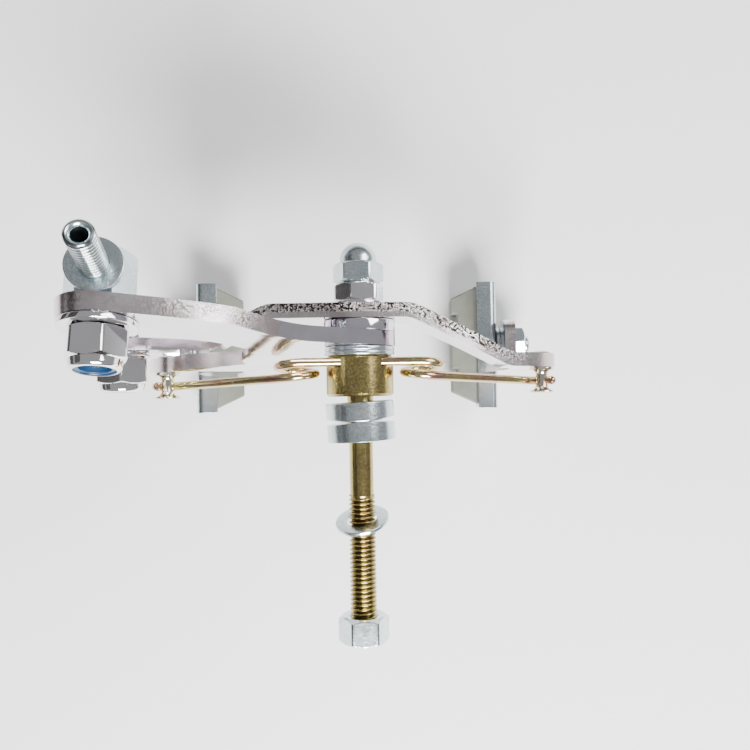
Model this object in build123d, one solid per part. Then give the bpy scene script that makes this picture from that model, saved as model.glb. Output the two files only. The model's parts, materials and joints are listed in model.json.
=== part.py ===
from build123d import *
import math
import os

# Side-pull rim brake caliper: two bent steel arms on one centre bolt.
# Millimetres. X across the bike, +Y towards the acorn nut, +Z up; the origin is on the
# bolt's axis, in the rear face of its collar.

os.makedirs("parts", exist_ok=True)

# Fits and clearances
running = 0.05          # radial clearance of anything that turns or screws
slip = 0.05             # axial gap between faces that slide on each other
loose_play = 0.4        # radial play of washers that hang loose

# Centre bolt
thread_r = 2.9
pivot_r = 3.0
neck_r = 2.9
neck_length = 9.9
shank_r = 2.65
shank_length = 12.1
rear_thread_length = 32.4
collar_r = 7.5
collar_length = 9.0
collar_chamfer = 0.5
slot_centre_z = 4.9
slot_wire_y = 7.5
slot_play = 0.12
nut_af = 10.0           # every hexagon is 10 mm across its flats
nut_chamfer = 0.6
mounting_nut_length = 6.0
acorn_hex_length = 4.6
acorn_dome_r = 4.1
acorn_length = 9.2
jam_nut_length = 4.2
bolt_front_spare = 2.6  # how far the thread stops short of the dome's tip

# Washers on the bolt
pivot_washer_r = 7.8
pivot_washer_t = 1.0
spacer_r = 8.0
spacer_length = 2.6
front_washer_r = 6.2
front_washer_t = 0.8
seat_washer_r = 7.6
seat_washer_t = 4.3
seat_groove_r = 45.0
seat_gap = 1.2
seat_tilt = 3.0
flat_washer_r = 6.0
flat_washer_bore = 3.4
flat_washer_t = 0.9
flat_washer_y = -27.6
flat_washer_pitch = 20.0
flat_washer_yaw = 10.0

# Arms
plate_t = 3.2
bend_r = 5.0            # inner radius of the joggles in the plates
eye_r = 8.0
leg_rear_y = 6.2        # rear face of both arms beside the wheel
arm_gap = 1.0           # between the two plates beside the bolt, along Y
anchor_x, anchor_z = -51.0, 4.0
eye_x, eye_z = -48.0, 30.0
adjuster_eye_r = 7.2
plate_lean = 13.0       # the rear arm's side leans forwards above its fold
lean_fold_z = -3.5
twist_start_x = -10.0   # between these the rear arm's plate twists into that lean
twist_end_x = -24.0
crotch_x, crotch_z, crotch_r = -18.0, 5.0, 7.5

# Spring and its posts
wire_r = 1.0
coil_r = 4.2
coil_x = 14.0
coil_pitch = 3.0
post_x, post_z = 44.0, -8.0
post_shaft_r = 1.4
post_flange_r = 2.8
post_flange_t = 0.8
post_length = 6.2
post_tenon_r = 1.5
post_head_r = 2.3
post_head_t = 0.8
hook_y = 3.0
hook_sweep = 150.0
hook_tail = 1.2

# Shoe clamps, at the lower ends of the arms
shoe_x, shoe_y, shoe_z = 49.1, 15.0, -63.0
shoe_tilt = 7.0
tab_front = 7.0
tab_below = 10.5
tab_above = 16.0
tab_flange = 3.4
tab_corner = 5.0
tab_fold_r = 1.2
shoe_room = 12.0        # the leg stops this far above the stud
leg_inset, leg_rise = 4.9, 17.2     # end of the leg's outline, inwards of and above the stud
slot_half = 4.0
slot_clearance = 0.25   # radial, around the stud
shoe_washer_r = 6.0
shoe_washer_t = 1.1
shoe_nut_length = 4.5
stud_tip = 1.5
stud_head_play = 0.7    # radial, inside the holder
stud_head_t = 1.4
holder_length = 39.0
holder_height = 11.6
holder_depth = 6.0
holder_wall = 1.2
pad_play = 0.15         # above and below the pad in its holder
pad_reach = 8.0
pad_taper = 3.7         # at both ends of the pad, from the holder's lip to the face
pad_groove_y = 8.5
pad_groove_w = 2.5
pad_groove_d = 2.0

# Cable adjuster and anchor
stud_block_af = 11.0
stud_block_t = 9.6
ring_gap = 0.2          # lock ring to the arm's plate
adjuster_lean = 6.0
stud_washer_r = 7.0
stud_washer_t = 1.2
lock_nut_length = 7.6
lock_nut_collar = 1.9
lock_nut_collar_r = 4.55
nylon_t = 1.5
nylon_r = 3.8
ring_r = 5.1
ring_t = 1.2
barrel_above = 12.0
barrel_below = 1.0
barrel_r = 2.5
barrel_bore = 1.35
barrel_countersink = 0.5
barrel_chamfer = 0.4
anchor_head_r = 4.3
anchor_head_t = 5.8
cable_hole_r = 1.0
anchor_washer_r = 5.75
anchor_washer_t = 1.0

# Where the stack on the bolt puts each piece, along Y
washer_a_y = collar_length
washer_b_y = washer_a_y + pivot_washer_t
y_arm_y = washer_b_y + pivot_washer_t + slip
spacer_y = y_arm_y + plate_t + slip
c_arm_y = spacer_y + spacer_length + slip
front_washer_y = c_arm_y + plate_t + slip
jam_nut_y = front_washer_y + front_washer_t
acorn_y = jam_nut_y + jam_nut_length
bolt_rear_y = -(neck_length + shank_length + rear_thread_length)
leg_mid_y = leg_rear_y + plate_t / 2
cable_end_y = leg_rear_y + plate_t + arm_gap + plate_t / 2

# What fits the shoe holder and the adjuster
pad_height = holder_height - 2 * (holder_wall + pad_play)
stud_head_r = holder_height / 2 - holder_wall - stud_head_play
adjuster_offset = plate_t / 2 + ring_r + ring_gap


def along_y(radius, start, length):
    """A round bar on the bolt's axis from Y = start."""
    return Plane(origin=(0, start, 0), z_dir=(0, 1, 0)) * extrude(Circle(radius), length)


def tube_y(radius, bore, start, length):
    return along_y(radius, start, length) - along_y(bore, start - 1, length + 2)


def hex_bar(flats, length, chamfer_by, turn=0.0):
    """A hexagon bar along +Z, its corners turned down at both ends."""
    corner = flats / 2 / math.cos(math.pi / 6)
    bar = extrude(Rot(0, 0, turn) * RegularPolygon(corner, 6), length)
    turned = extrude(Circle(corner + 0.01), length)
    rims = turned.edges().filter_by(GeomType.CIRCLE)
    return bar & chamfer(rims, chamfer_by, chamfer_by * 1.6)


def nut(length, turn=0.0):
    """A hexagon nut along +Z with a countersunk bore that clears the thread."""
    bore = extrude(Circle(thread_r + running), length)
    body = hex_bar(nut_af, length, nut_chamfer, turn) - bore
    rims = [e for e in body.edges().filter_by(GeomType.CIRCLE) if e.radius < thread_r + 0.1]
    return chamfer(rims, 0.3)


def on_bolt(shape, start):
    """Turns a shape made along +Z to lie along +Y from Y = start."""
    return Plane(origin=(0, start, 0), x_dir=(1, 0, 0), z_dir=(0, 1, 0)) * shape


def save(name, *shapes):
    solids = [s for shape in shapes for s in shape.solids()]
    export_step(solids[0] if len(solids) == 1 else Compound(children=solids), f"parts/{name}.step")


# ---- centre bolt and what is on it

def pivot_bolt():
    bolt = along_y(pivot_r, 0, front_washer_y)
    front_end = acorn_y + acorn_length - bolt_front_spare
    bolt += along_y(thread_r, front_washer_y, front_end - front_washer_y)
    bolt += along_y(neck_r, -neck_length, neck_length)
    bolt += along_y(shank_r, -neck_length - shank_length, shank_length)
    bolt += along_y(thread_r, bolt_rear_y, rear_thread_length)
    collar = along_y(collar_r, 0, collar_length)
    collar = chamfer(collar.edges().filter_by(GeomType.CIRCLE), collar_chamfer)
    slot_half_z = wire_r + slot_play
    slot_depth = collar_length - slot_wire_y + wire_r + slot_play
    slot = Pos(0, collar_length - slot_depth / 2 + 0.5, slot_centre_z) * Box(
        3 * collar_r, slot_depth + 1, 2 * slot_half_z)
    return bolt + (collar - slot)


def acorn_nut():
    hexagon = hex_bar(nut_af, acorn_hex_length, nut_chamfer, -7)
    dome_start = acorn_length - acorn_dome_r
    dome = extrude(Circle(acorn_dome_r), dome_start) + Pos(0, 0, dome_start) * Sphere(acorn_dome_r)
    bore = extrude(Circle(thread_r + running), acorn_length - bolt_front_spare + 0.3)
    bored = (hexagon + (dome & extrude(Circle(20), 40))) - bore
    return on_bolt(bored, acorn_y)


def seating_washer(front_face_y, groove_at_rear):
    """A thick washer with one hollow face, that beds on a round tube."""
    rear = front_face_y - seat_washer_t
    body = tube_y(seat_washer_r, neck_r + loose_play, rear, seat_washer_t)
    sagitta = seat_groove_r - math.sqrt(seat_groove_r**2 - seat_washer_r**2)
    axis_y = rear + sagitta - seat_groove_r if groove_at_rear else front_face_y - sagitta + seat_groove_r
    groove = Pos(0, axis_y, 0) * Rot(0, 90, 0) * Cylinder(seat_groove_r, 3 * seat_washer_r)
    pair_middle = -seat_gap - seat_washer_t
    tilt = Pos(0, pair_middle, 0) * Rot(0, 0, seat_tilt) * Pos(0, -pair_middle, 0)
    return tilt * (body - groove)


def mounting_washer():
    ring = tube_y(flat_washer_r, flat_washer_bore, -flat_washer_t / 2, flat_washer_t)
    return Pos(0, flat_washer_y, 0) * Rot(flat_washer_pitch, 0, flat_washer_yaw) * ring


# ---- arms

def smooth(stations, steps=4):
    """Points (x, z, radius) on a Catmull-Rom curve through the stations."""
    ends = [stations[0], *stations, stations[-1]]
    points = []
    for p0, p1, p2, p3 in zip(ends, ends[1:], ends[2:], ends[3:]):
        for i in range(steps):
            t = i / steps
            points.append(tuple(
                b + t / 2 * (c - a + t * (2 * a - 5 * b + 4 * c - d + t * (3 * b - a - 3 * c + d)))
                for a, b, c, d in zip(p0, p1, p2, p3)))
    return [*points, stations[-1]]


def outline(stations):
    """A tongue along the stations, round at both ends, cut through everything along Y."""
    points = smooth(stations)
    left, right, headings = [], [], []
    for i, (x, z, r) in enumerate(points):
        before, after = points[max(i - 1, 0)], points[min(i + 1, len(points) - 1)]
        heading = Vector(after[0] - before[0], after[1] - before[1]).normalized()
        left.append((x - heading.Y * r, z + heading.X * r))
        right.append((x + heading.Y * r, z - heading.X * r))
        headings.append(heading)
    (xa, za, ra), (xb, zb, rb) = points[0], points[-1]
    start = (xa - headings[0].X * ra, za - headings[0].Y * ra)
    end = (xb + headings[-1].X * rb, zb + headings[-1].Y * rb)
    edges = [Spline(*left), ThreePointArc(left[-1], end, right[-1]), Spline(*right),
             ThreePointArc(right[0], start, left[0])]
    return extrude(Plane.XZ * make_face([e.edge() for e in edges]), 60, both=True)


def strip_sides(path, thickness):
    """The mitred edges of a bent strip, and which way it turns at each corner."""
    runs = []
    for (xa, ya), (xb, yb) in zip(path, path[1:]):
        length = math.dist((xa, ya), (xb, yb))
        runs.append(((xb - xa) / length, (yb - ya) / length))
    left, right, turns = [], [], []
    for i, (x, y) in enumerate(path):
        before, after = runs[max(i - 1, 0)], runs[min(i, len(runs) - 1)]
        nx, ny = -(before[1] + after[1]) / 2, (before[0] + after[0]) / 2
        reach = thickness / 2 / (nx * nx + ny * ny)
        left.append((x + nx * reach, y + ny * reach))
        right.append((x - nx * reach, y - ny * reach))
        if 0 < i < len(path) - 1:
            turns.append(before[0] * after[1] - before[1] * after[0])
    return left, right, turns


def strip(path, thickness, inner_r):
    """The section of a bent plate, with round bends, that follows a path of straight runs."""
    left, right, turns = strip_sides(path, thickness)
    wide = inner_r + thickness
    left_line = FilletPolyline(*left, radius=[inner_r if turn > 0 else wide for turn in turns])
    right_line = FilletPolyline(*right, radius=[wide if turn > 0 else inner_r for turn in turns])
    caps = [Line(left[0], right[0]), Line(left[-1], right[-1])]
    return make_face([*left_line.edges(), *right_line.edges(), *[c.edge() for c in caps]])


def creased_strip(path, thickness):
    """The same with sharp bends."""
    left, right, _ = strip_sides(path, thickness)
    return make_face(Polyline(*left, *reversed(right), close=True))


def bent_plate(path):
    return extrude(strip(path, plate_t, bend_r), 120, both=True)


def shoe_frame():
    """Local X points outwards along the right stud, local Y is the row's Y."""
    tilt = math.radians(shoe_tilt)
    return Plane(origin=(shoe_x, shoe_y, shoe_z), x_dir=(math.cos(tilt), 0, math.sin(tilt)),
                 z_dir=(-math.sin(tilt), 0, math.cos(tilt)))


def shoe_tab():
    """The right arm's folded lower end with its slot, in the shoe's own frame."""
    leg = leg_mid_y - shoe_y
    section = strip([(-tab_flange, leg), (0, leg), (0, tab_front)], plate_t, tab_fold_r)
    tab = Pos(0, 0, -tab_below) * extrude(section, tab_below + tab_above)
    rear = leg_rear_y - shoe_y
    wide, tall = tab_front - rear, tab_below + tab_above
    outline = Plane.YZ * Pos((tab_front + rear) / 2, (tab_above - tab_below) / 2) * RectangleRounded(
        wide, tall, tab_corner)
    tab &= extrude(outline, 40, both=True)
    inner = -plate_t / 2
    tab -= Pos(inner - 20, 0, shoe_room - 30) * Box(40, 80, 60)
    slot_width = 2 * (thread_r + slot_clearance)
    slot = extrude(Plane.YZ * SlotCenterToCenter(2 * slot_half, slot_width, rotation=90), 10, both=True)
    return tab - slot


def post_bore(side):
    return Pos(side * post_x, 0, post_z) * Rot(90, 0, 0) * Cylinder(post_tenon_r + running, 60)


leg_stations = [(41.5, -9.5, 5.6), (45.3, -27, 5.3), (shoe_x - leg_inset, shoe_z + leg_rise, 5.0)]


def c_arm():
    """The front arm: right shoe, and the cable anchor at its left end."""
    mid = c_arm_y + plate_t / 2
    path = [(-62, cable_end_y), (-32, cable_end_y), (-20, mid), (11, mid), (34, leg_mid_y), (62, leg_mid_y)]
    shape = outline([(anchor_x, anchor_z, 6.2), (-31, 2, 5.4), (-16, 0.5, 6.4), (0, 0, eye_r),
                     (15, 0.5, 6.6), (29, -2, 5.7), *leg_stations])
    arm = bent_plate(path) & shape
    arm += shoe_frame() * shoe_tab()
    arm -= Rot(90, 0, 0) * Cylinder(pivot_r + running, 80)
    arm -= Pos(anchor_x, 0, anchor_z) * Rot(90, 0, 0) * Cylinder(thread_r + running, 80)
    return arm - post_bore(1)


def leaning_path(reach_down, reach_up):
    """Side view (z, y) of the rear arm's outer part: upright beside the wheel, leaning above."""
    rise = reach_up * math.tan(math.radians(plate_lean))
    return [(lean_fold_z - reach_down, leg_mid_y), (lean_fold_z, leg_mid_y),
            (lean_fold_z + reach_up, leg_mid_y + rise)]


def adjuster_frame():
    """Local Z is the adjuster stud's axis, forwards; local Y runs up the plate and the cable."""
    lean = math.radians(plate_lean)
    middle_y = leg_mid_y + (eye_z - lean_fold_z) * math.tan(lean)
    forwards = (0, math.cos(lean), -math.sin(lean))
    plate = Plane(origin=(eye_x, middle_y, eye_z), x_dir=(-1, 0, 0), z_dir=forwards)
    return Location(plate) * Rot(0, 0, adjuster_lean)


def y_arm():
    """The rear arm: left shoe, and the forked branch that carries the adjuster."""
    mid = y_arm_y + plate_t / 2
    side = leaning_path(60, 60)
    flat = [(z, mid) for z, _ in side]
    start = Plane(origin=(twist_start_x, 0, 0), x_dir=(0, 0, 1), z_dir=(-1, 0, 0))
    end = Plane(origin=(twist_end_x, 0, 0), x_dir=(0, 0, 1), z_dir=(-1, 0, 0))
    plate = extrude(start * creased_strip(flat, plate_t), -40)
    plate += loft([start * creased_strip(flat, plate_t), end * creased_strip(side, plate_t)], ruled=True)
    plate += extrude(end * creased_strip(side, plate_t), 60)
    mirrored = [(-x, z, r) for x, z, r in leg_stations]
    shape = outline([(0, 0, eye_r), (-16, -2.5, 6.8), (-29, -5, 5.7), *mirrored])
    shape += outline([(0, 0, eye_r), (-13, 12, 6.8), (-28, 24, 5.8), (eye_x, eye_z, adjuster_eye_r)])
    shape += Pos(crotch_x, 0, crotch_z) * Rot(90, 0, 0) * Cylinder(crotch_r, 120)
    arm = (plate & shape) + mirror(shoe_frame() * shoe_tab(), about=Plane.YZ)
    arm -= Rot(90, 0, 0) * Cylinder(pivot_r + running, 80)
    arm -= adjuster_frame() * Cylinder(thread_r + running, 40)
    return arm - post_bore(-1)


# ---- spring and posts

def wire_half():
    """Corner points and bend radii of the right half of the spring, from its coil out."""
    centre = (coil_x, slot_centre_z - coil_r)
    hook_r = post_shaft_r + running + wire_r
    dx, dz = post_x - centre[0], post_z - centre[1]
    leg = math.atan2(dz, dx) - math.asin((coil_r + hook_r) / math.hypot(dx, dz))
    turned = 2 * math.pi - leg
    steps = 13
    step = turned / steps
    points, radii = [], []
    for i in range(steps):
        angle = math.pi / 2 - (i + 0.5) * step
        reach = coil_r / math.cos(step / 2)
        y = slot_wire_y - coil_pitch * (i + 0.5) * step / (2 * math.pi)
        points.append((centre[0] + reach * math.cos(angle), y, centre[1] + reach * math.sin(angle)))
        radii.append(coil_r * 0.95)
    hooks = 5
    step = math.radians(hook_sweep) / hooks
    start = leg - math.pi / 2
    for i in range(hooks):
        angle = start + (i + 0.5) * step
        reach = hook_r / math.cos(step / 2)
        points.append((post_x + reach * math.cos(angle), hook_y, post_z + reach * math.sin(angle)))
        radii.append(hook_r * 0.95)
    end = start + hooks * step
    tail = (post_x + hook_r * math.cos(end) - hook_tail * math.sin(end), hook_y,
            post_z + hook_r * math.sin(end) + hook_tail * math.cos(end))
    return points, radii, tail


def return_spring():
    points, radii, tail = wire_half()
    left = [(-x, y, z) for x, y, z in reversed(points)]
    ends = (-tail[0], tail[1], tail[2]), tail
    path = FilletPolyline(ends[0], *left, *points, ends[1], radius=[*reversed(radii), *radii])
    return sweep(Plane(path @ 0, z_dir=path % 0) * Circle(wire_r), path=path)


def spring_post(side):
    """A flanged spool, riveted through the arm."""
    post = along_y(post_shaft_r, leg_rear_y - post_length, post_length)
    post += along_y(post_flange_r, leg_rear_y - post_flange_t, post_flange_t)
    post += along_y(post_flange_r, leg_rear_y - post_length, post_flange_t)
    post += along_y(post_tenon_r, leg_rear_y - 0.1, plate_t + 0.2)
    post += along_y(post_head_r, leg_rear_y + plate_t, post_head_t)
    return Pos(side * post_x, 0, post_z) * post


# ---- adjuster

def adjuster_stud():
    """Bolt through the arm's eye whose hexagon head is cross-bored for the adjuster."""
    front = plate_t / 2 + slip
    end = plate_t / 2 + stud_washer_t + lock_nut_length - nylon_t
    stud = Pos(0, 0, front) * hex_bar(stud_block_af, stud_block_t, 0.5)
    stud += Pos(0, 0, -end) * extrude(Circle(thread_r), end + front)
    cross = Pos(0, 0, adjuster_offset) * Rot(90, 0, 0) * Cylinder(barrel_r + running, 40)
    return adjuster_frame() * (stud - cross)


def stud_washer():
    rear = -plate_t / 2 - slip - stud_washer_t
    ring = Circle(stud_washer_r) - Circle(thread_r + running)
    return adjuster_frame() * Pos(0, 0, rear) * extrude(ring, stud_washer_t)


def lock_nut(turn):
    """Nylon-insert nut along +Z: a hexagon with a round collar that holds the ring."""
    seat = lock_nut_length - lock_nut_collar
    body = hex_bar(nut_af, seat, nut_chamfer, turn) + extrude(Circle(lock_nut_collar_r), lock_nut_length)
    body -= extrude(Circle(thread_r + running), lock_nut_length)
    return body - Pos(0, 0, seat) * extrude(Circle(nylon_r + running), nylon_t)


def nylon_ring():
    ring = Circle(nylon_r) - Circle(thread_r + running)
    return Pos(0, 0, lock_nut_length - lock_nut_collar) * extrude(ring, nylon_t)


def behind_eye(shape):
    """Seats a lock nut's piece on the washer behind the adjuster eye."""
    rear = -plate_t / 2 - slip - stud_washer_t
    return adjuster_frame() * Pos(0, 0, rear) * Rot(180, 0, 0) * shape


def cable_line():
    """Local Z runs up the cable, from the middle of the stud's head."""
    return adjuster_frame() * Pos(0, 0, adjuster_offset) * Rot(-90, 0, 0)


def block_half():
    """Half the stud head's height along the cable."""
    return stud_block_af / 2


def adjuster_lock_ring():
    ring = Circle(ring_r) - Circle(barrel_r + running)
    return cable_line() * Pos(0, 0, block_half() + slip) * extrude(ring, ring_t)


def barrel_adjuster():
    bottom = -block_half() - barrel_below
    top = block_half() + slip + ring_t + barrel_above
    tube = extrude(Circle(barrel_r), top - bottom)
    tube = chamfer(tube.edges().filter_by(GeomType.CIRCLE), barrel_chamfer)
    tube -= extrude(Circle(barrel_bore), top - bottom)
    mouth = Pos(0, 0, top - bottom - barrel_countersink / 2) * Cone(
        barrel_bore, barrel_bore + barrel_countersink, barrel_countersink)
    return cable_line() * Pos(0, 0, bottom) * (tube - mouth)


# ---- cable anchor

def at_anchor(shape, start):
    return Pos(anchor_x, 0, anchor_z) * on_bolt(shape, start)


def anchor_bolt():
    front = cable_end_y + plate_t / 2 + slip
    rear = cable_end_y - plate_t / 2 - slip - anchor_washer_t - lock_nut_length + nylon_t
    head = extrude(Circle(anchor_head_r), anchor_head_t)
    head = chamfer(head.edges().group_by(Axis.Z)[-1], 0.6)
    bolt = at_anchor(head, front) + at_anchor(extrude(Circle(thread_r), front - rear + 0.1), rear)
    hole_y = front + anchor_head_t / 2
    return bolt - Pos(anchor_x, hole_y, anchor_z) * Cylinder(cable_hole_r, 40)


def anchor_washer():
    start = cable_end_y - plate_t / 2 - slip - anchor_washer_t
    return at_anchor(extrude(Circle(anchor_washer_r) - Circle(thread_r + running), anchor_washer_t), start)


def behind_anchor(shape):
    """Seats a lock nut's piece on the washer behind the cable anchor."""
    rear = cable_end_y - plate_t / 2 - slip - anchor_washer_t
    return at_anchor(Rot(180, 0, 0) * shape, rear)


# ---- shoes, made for the right side in the shoe's own frame

holder_back = -(plate_t / 2 + slip + shoe_washer_t)


def along_stud(shape, start):
    """Lays a shape made along +Z on the stud's axis from local X = start."""
    return Plane(origin=(start, 0, 0), x_dir=(0, 1, 0), z_dir=(1, 0, 0)) * shape


def shoe_holder():
    """A pressed channel whose rear end is turned in, to stop the pad."""
    outer = Pos(holder_back - holder_depth / 2, 0, 0) * Box(holder_depth, holder_length, holder_height)
    outer = fillet(outer.edges().filter_by(Axis.Y).group_by(Axis.X)[-1], 2.0)
    inside = holder_height - 2 * holder_wall
    depth = holder_depth - holder_wall
    hollow = Pos(holder_back - holder_wall - depth / 2 - 1, holder_wall, 0) * Box(
        depth + 2, holder_length, inside)
    channel = outer - hollow
    return channel - along_stud(extrude(Circle(thread_r + running), 20), holder_back - 10)


def brake_pad():
    """A rubber block that tapers towards its face, with two water grooves across it."""
    deep = holder_back - holder_wall - stud_head_t - slip
    face = holder_back - holder_depth - pad_reach
    half = holder_length / 2 - holder_wall - slip
    lip = holder_back - holder_depth
    outline = Polyline((deep, -half), (deep, half), (lip, half), (face, half - pad_taper),
                       (face, -half + pad_taper), (lip, -half), close=True)
    pad = extrude(make_face(outline), pad_height / 2, both=True)
    for side in (-1, 1):
        pad -= Pos(face, side * pad_groove_y, 0) * Box(2 * pad_groove_d, pad_groove_w, 2 * pad_height)
    return pad


def shoe_stud():
    head = along_stud(extrude(Circle(stud_head_r), stud_head_t), holder_back - holder_wall - stud_head_t)
    tip = plate_t / 2 + slip + shoe_nut_length + stud_tip
    start = holder_back - holder_wall
    shank = along_stud(extrude(Circle(thread_r), tip - start), start)
    return head + fillet(shank.edges().filter_by(GeomType.CIRCLE).group_by(Axis.X)[-1], 1.0)


def shoe_washer():
    ring = Circle(shoe_washer_r) - Circle(thread_r + running)
    return along_stud(extrude(ring, shoe_washer_t), holder_back)


def shoe_nut():
    return along_stud(nut(shoe_nut_length, 20), plate_t / 2 + slip)


def save_all():
    save("pivot_bolt", pivot_bolt())
    save("rear_washer_a", tube_y(pivot_washer_r, pivot_r + running, washer_a_y, pivot_washer_t))
    save("rear_washer_b", tube_y(pivot_washer_r, pivot_r + running, washer_b_y, pivot_washer_t))
    save("arm_spacer", tube_y(spacer_r, pivot_r + running, spacer_y, spacer_length))
    save("front_washer", tube_y(front_washer_r, pivot_r + running, front_washer_y, front_washer_t))
    save("jam_nut", on_bolt(nut(jam_nut_length, 11), jam_nut_y))
    save("acorn_nut", acorn_nut())
    save("seating_washer_front", seating_washer(-seat_gap, True))
    save("seating_washer_rear", seating_washer(-seat_gap - seat_washer_t, False))
    save("mounting_washer", mounting_washer())
    save("mounting_nut", on_bolt(nut(mounting_nut_length), bolt_rear_y))
    save("c_arm", c_arm())
    save("y_arm", y_arm())
    save("return_spring", return_spring())
    save("adjuster_stud", adjuster_stud())
    save("stud_washer", stud_washer())
    save("stud_lock_nut", behind_eye(lock_nut(12)))
    save("stud_nylon_ring", behind_eye(nylon_ring()))
    save("adjuster_lock_ring", adjuster_lock_ring())
    save("barrel_adjuster", barrel_adjuster())
    save("anchor_bolt", anchor_bolt())
    save("anchor_washer", anchor_washer())
    save("anchor_nut", behind_anchor(lock_nut(15)))
    save("anchor_nylon_ring", behind_anchor(nylon_ring()))
    for name, side in (("left", -1), ("right", 1)):
        save(f"spring_post_{name}", spring_post(side))
        for piece in (shoe_holder, brake_pad, shoe_stud, shoe_washer, shoe_nut):
            placed = shoe_frame() * piece()
            if side < 0:
                placed = mirror(placed, about=Plane.YZ)
            save(f"{piece.__name__}_{name}", placed)


save_all()
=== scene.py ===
import bmesh
import bpy
import json
import math
import numpy as np
from mathutils import Matrix, Vector


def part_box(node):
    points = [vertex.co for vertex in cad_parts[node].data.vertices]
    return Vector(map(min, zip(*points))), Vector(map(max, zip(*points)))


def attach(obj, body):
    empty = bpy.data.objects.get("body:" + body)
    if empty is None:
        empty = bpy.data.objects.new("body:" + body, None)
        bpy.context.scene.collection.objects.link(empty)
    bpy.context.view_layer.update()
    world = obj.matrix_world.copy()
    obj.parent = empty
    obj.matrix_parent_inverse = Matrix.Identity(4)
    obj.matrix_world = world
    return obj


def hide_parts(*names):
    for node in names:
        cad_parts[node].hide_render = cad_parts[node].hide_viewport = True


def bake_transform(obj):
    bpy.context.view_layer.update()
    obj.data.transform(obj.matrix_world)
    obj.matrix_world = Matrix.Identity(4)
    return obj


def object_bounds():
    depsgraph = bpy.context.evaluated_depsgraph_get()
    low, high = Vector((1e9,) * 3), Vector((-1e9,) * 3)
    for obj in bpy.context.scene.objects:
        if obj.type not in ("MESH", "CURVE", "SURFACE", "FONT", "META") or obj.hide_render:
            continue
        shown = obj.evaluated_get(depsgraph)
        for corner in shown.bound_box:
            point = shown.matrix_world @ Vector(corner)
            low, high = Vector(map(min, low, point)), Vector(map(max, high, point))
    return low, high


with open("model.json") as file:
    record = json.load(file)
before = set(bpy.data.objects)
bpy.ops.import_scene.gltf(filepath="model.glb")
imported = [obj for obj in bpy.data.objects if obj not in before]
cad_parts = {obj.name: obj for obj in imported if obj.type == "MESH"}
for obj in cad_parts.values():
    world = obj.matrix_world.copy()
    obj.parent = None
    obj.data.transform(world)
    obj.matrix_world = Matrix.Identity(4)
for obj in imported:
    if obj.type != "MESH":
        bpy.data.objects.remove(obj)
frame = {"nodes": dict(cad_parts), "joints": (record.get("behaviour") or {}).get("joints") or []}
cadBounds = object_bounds()
nodes = frame["nodes"]
joints = {j["name"]: j for j in frame["joints"]}
mm = 0.001
print("frame loaded:", len(nodes), "nodes")


# 4x4 whose local Z is zDir and whose local X is the part of xHint square to it.
def place(origin, zDir, xHint=(1, 0, 0)):
    z = Vector(zDir).normalized()
    x = Vector(xHint)
    x = (x - z * x.dot(z)).normalized()
    y = z.cross(x)
    turn = Matrix((x, y, z)).transposed().to_4x4()
    return Matrix.Translation(Vector(origin)) @ turn


# Local Z runs forwards along the bolt from Y = y metres.
def onBolt(y):
    return place((0, y, 0), (0, 1, 0))


def boxOf(node):
    low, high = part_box(node)
    return np.array(low), np.array(high)


# Quads between neighbouring rows of a grid whose columns go all the way round.
def gridFaces(rows, cols, ringClosed):
    r = np.arange(rows if ringClosed else rows - 1)[:, None]
    c = np.arange(cols)[None, :]
    a = r * cols + c
    b = r * cols + (c + 1) % cols
    up = ((r + 1) % rows) * cols
    return np.stack([a, b, up + (c + 1) % cols, up + c], axis=-1).reshape(-1, 4)


# Builds one object from grids (points in millimetres, ring closed or not); open ends get flat caps.
def meshPiece(name, grids, at=None, sharpAngle=32):
    verts, faces, start = [], [], 0
    for points, ringClosed in grids:
        rows, cols = points.shape[:2]
        quads = gridFaces(rows, cols, ringClosed) + start
        faces += quads.tolist()
        if not ringClosed:
            faces.append(list(range(start + cols - 1, start - 1, -1)))
            last = start + (rows - 1) * cols
            faces.append(list(range(last, last + cols)))
        verts.append(points.reshape(-1, 3))
        start += rows * cols
    mesh = bpy.data.meshes.new(name)
    mesh.from_pydata((np.concatenate(verts) * mm).tolist(), [], faces)
    return finishMesh(name, mesh, at, sharpAngle)


def finishMesh(name, mesh, at, sharpAngle):
    work = bmesh.new()
    work.from_mesh(mesh)
    bmesh.ops.recalc_face_normals(work, faces=work.faces)
    for edge in work.edges:
        edge.smooth = edge.calc_face_angle(0) < math.radians(sharpAngle)
    for face in work.faces:
        face.smooth = True
    if at is not None:
        work.transform(at)
    work.to_mesh(mesh)
    work.free()
    piece = bpy.data.objects.new(name, mesh)
    bpy.context.scene.collection.objects.link(piece)
    return piece


# Turns (radius, height) pairs about local Z: x = r cos a, y = r sin a.
def lathe(profile, turns=72):
    angle = np.linspace(0, 2 * np.pi, turns, endpoint=False)
    r, z = np.array(profile, float).T
    return np.stack([r[:, None] * np.cos(angle), r[:, None] * np.sin(angle),
                     z[:, None] + 0 * angle], axis=-1)


# Closed profile of a flat ring with rounded outer corners and small inner ones.
def roundRing(inner, outer, low, high, soft, steps=4):
    arc = np.linspace(0, np.pi / 2, steps + 1)
    small = soft * 0.5
    profile = []
    for r, z, turn, size in ((outer, low, -np.pi / 2, soft), (outer, high, 0, soft),
                             (inner, high, np.pi / 2, small), (inner, low, np.pi, small)):
        cr = r - size if r == outer else r + size
        cz = z + size if z == low else z - size
        profile += [(cr + size * math.cos(a + turn), cz + size * math.sin(a + turn)) for a in arc]
    return profile


# A flat ring with its lower face on the placement's XY plane.
def washer(name, inner, outer, thick, at, soft=0.18):
    return meshPiece(name, [(lathe(roundRing(inner, outer, 0, thick, soft)), True)], at)


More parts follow.
